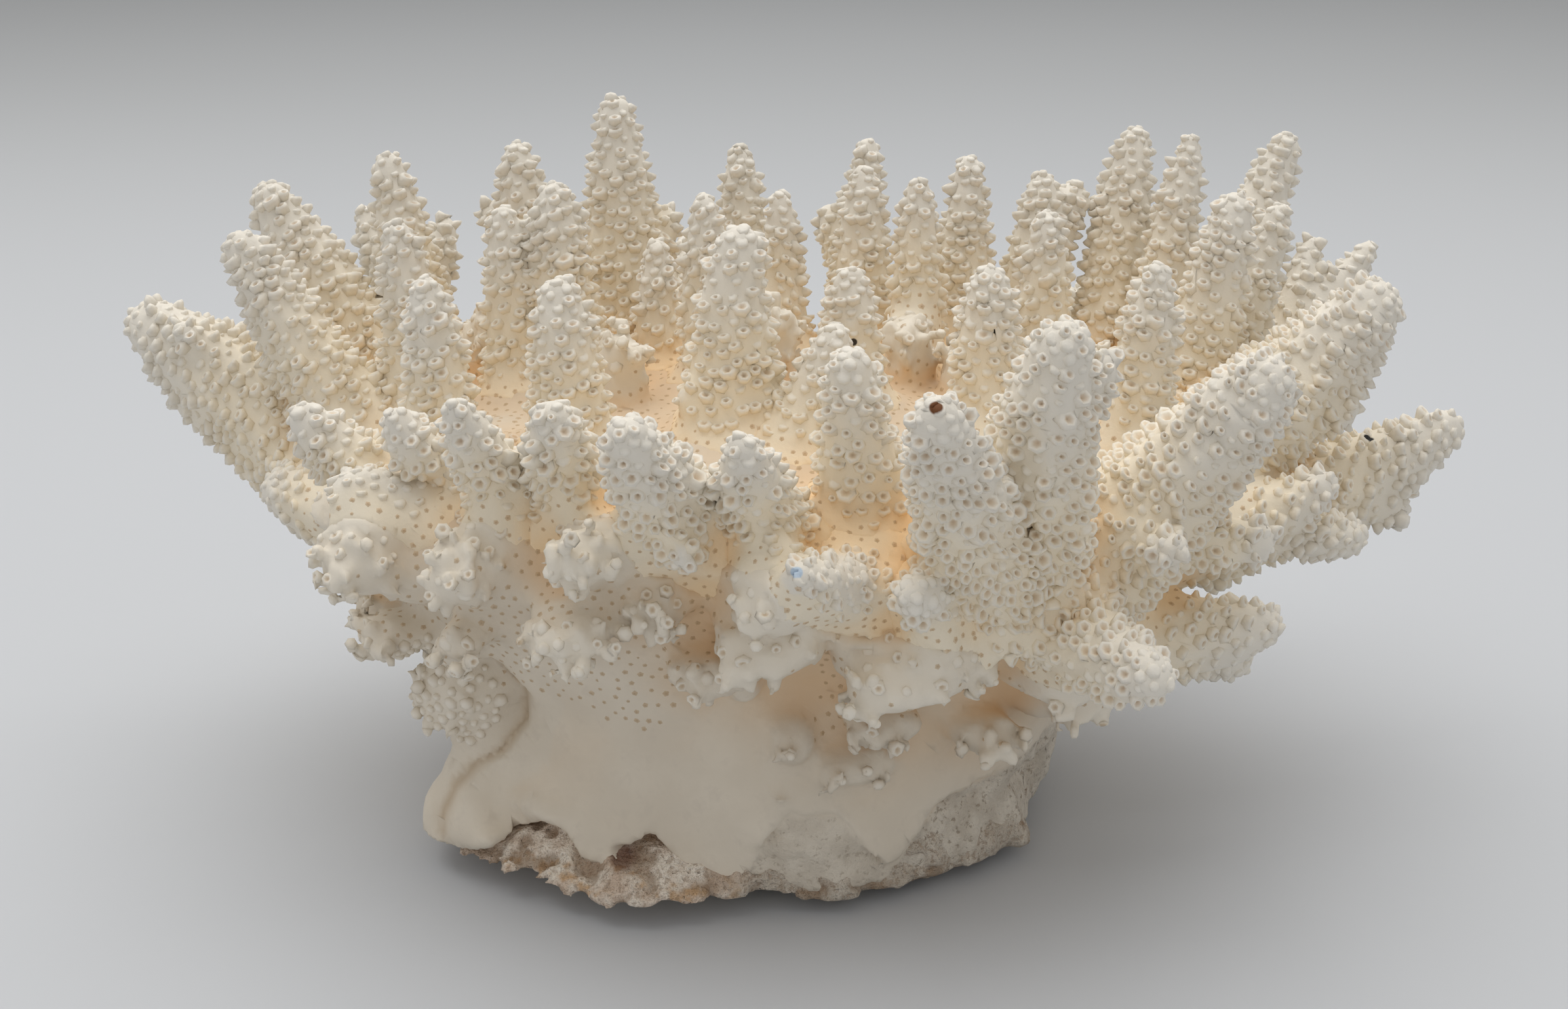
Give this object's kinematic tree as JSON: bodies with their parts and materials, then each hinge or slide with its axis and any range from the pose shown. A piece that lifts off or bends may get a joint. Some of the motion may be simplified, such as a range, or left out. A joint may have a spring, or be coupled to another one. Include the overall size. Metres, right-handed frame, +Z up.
{
  "type": "finger coral",
  "caption": "Bleached finger coral colony: a flared body of blunt knobbly fingers over a smooth crust on a broken rock foot, resting flat.",
  "frame": {"origin": "centre of the colony's foot, on the flat cut that it rests on", "axes": "+Z up, +X to the right and +Y away, as the colony is seen from its front"},
  "size_m": [0.2601, 0.1811, 0.133],
  "materials": {
    "coral": "matte, cream with white tips, set with raised tube-shaped cups",
    "crust": "smooth matte beige-white crust, dotted with pits higher up",
    "rock": "rough, porous, beige to pinkish brown"
  },
  "bodies": {
    "root": {"reef_rock": "rock", "back_finger_1": "coral", "back_finger_2": "coral", "back_finger_3": "coral", "back_finger_4": "coral", "back_finger_5": "coral", "back_finger_6": "coral", "back_finger_7": "coral", "back_finger_8": "coral", "back_finger_9": "coral", "back_finger_10": "coral", "back_finger_11": "coral", "back_finger_12": "coral", "back_finger_13": "coral", "back_finger_14": "coral", "back_finger_15": "coral", "inner_finger_1": "coral", "inner_finger_2": "coral", "inner_finger_3": "coral", "inner_finger_4": "coral", "inner_finger_5": "coral", "inner_finger_6": "coral", "inner_finger_7": "coral", "inner_finger_8": "coral", "inner_finger_9": "coral", "inner_finger_10": "coral", "inner_finger_11": "coral", "inner_finger_12": "coral", "inner_finger_13": "coral", "inner_finger_14": "coral", "inner_finger_15": "coral", "inner_finger_16": "coral", "inner_finger_17": "coral", "front_finger_1": "coral", "front_finger_2": "coral", "front_finger_3": "coral", "front_finger_4": "coral", "front_finger_5": "coral", "front_finger_6": "coral", "front_finger_7": "coral", "front_finger_8": "coral", "front_finger_9": "coral", "front_finger_10": "coral", "front_finger_11": "coral", "front_finger_12": "coral", "front_finger_13": "coral", "front_finger_14": "coral", "left_finger_1": "coral", "left_finger_2": "coral", "left_finger_3": "coral", "right_finger_1": "coral", "right_finger_2": "coral", "right_finger_3": "coral", "right_finger_4": "coral", "rear_finger_1": "coral", "rear_finger_2": "coral", "rear_finger_3": "coral", "rear_finger_4": "coral", "rear_finger_5": "coral", "base": "crust"}
  },
  "joints": []
}
